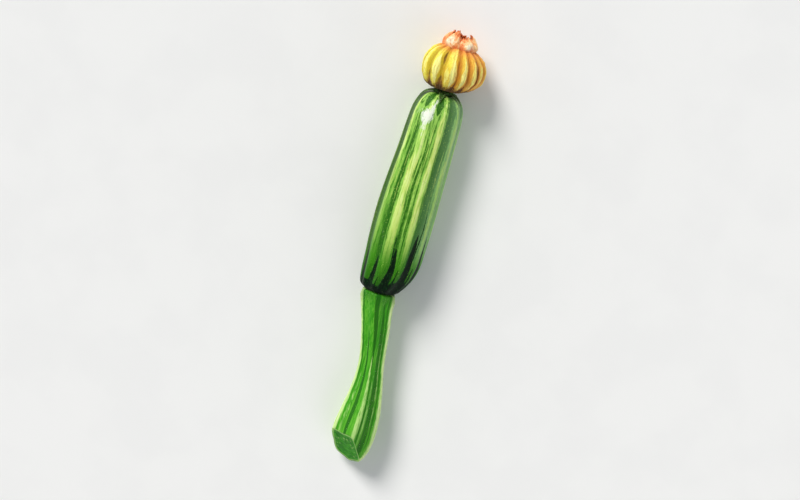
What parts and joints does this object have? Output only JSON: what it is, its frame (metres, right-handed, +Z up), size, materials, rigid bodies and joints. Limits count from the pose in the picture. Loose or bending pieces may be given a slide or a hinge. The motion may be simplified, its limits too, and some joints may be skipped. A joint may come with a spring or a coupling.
{
  "type": "courgette",
  "caption": "Picked courgette lying on its side: a ridged, rounded fruit with its angled stalk, small calyx and closed, pleated, withering flower.",
  "frame": {"origin": "on the surface that the courgette lies on, under the centre of its outline as seen from above", "axes": "+Y along the fruit, from the stalk's cut end to the flower; +Z up; +X level, to the right when looking from the stalk towards the flower"},
  "size_m": [0.0498, 0.3292, 0.0442],
  "materials": {
    "skin": "waxy, softly glossy vegetable skin, mid green with pale lengthwise stripes, near black at the stalk end",
    "stalk": "firm, satin green stem with pale ridges and darker furrows, and a wet, darker cut face",
    "calyx": "dull dark green, finely hairy",
    "petal": "soft, thin, dull yellow petals, orange and brown in the folds and at the withered tips"
  },
  "bodies": {
    "root": {"fruit": "skin", "stalk": "stalk", "calyx": "calyx", "corolla": "petal"}
  },
  "joints": []
}
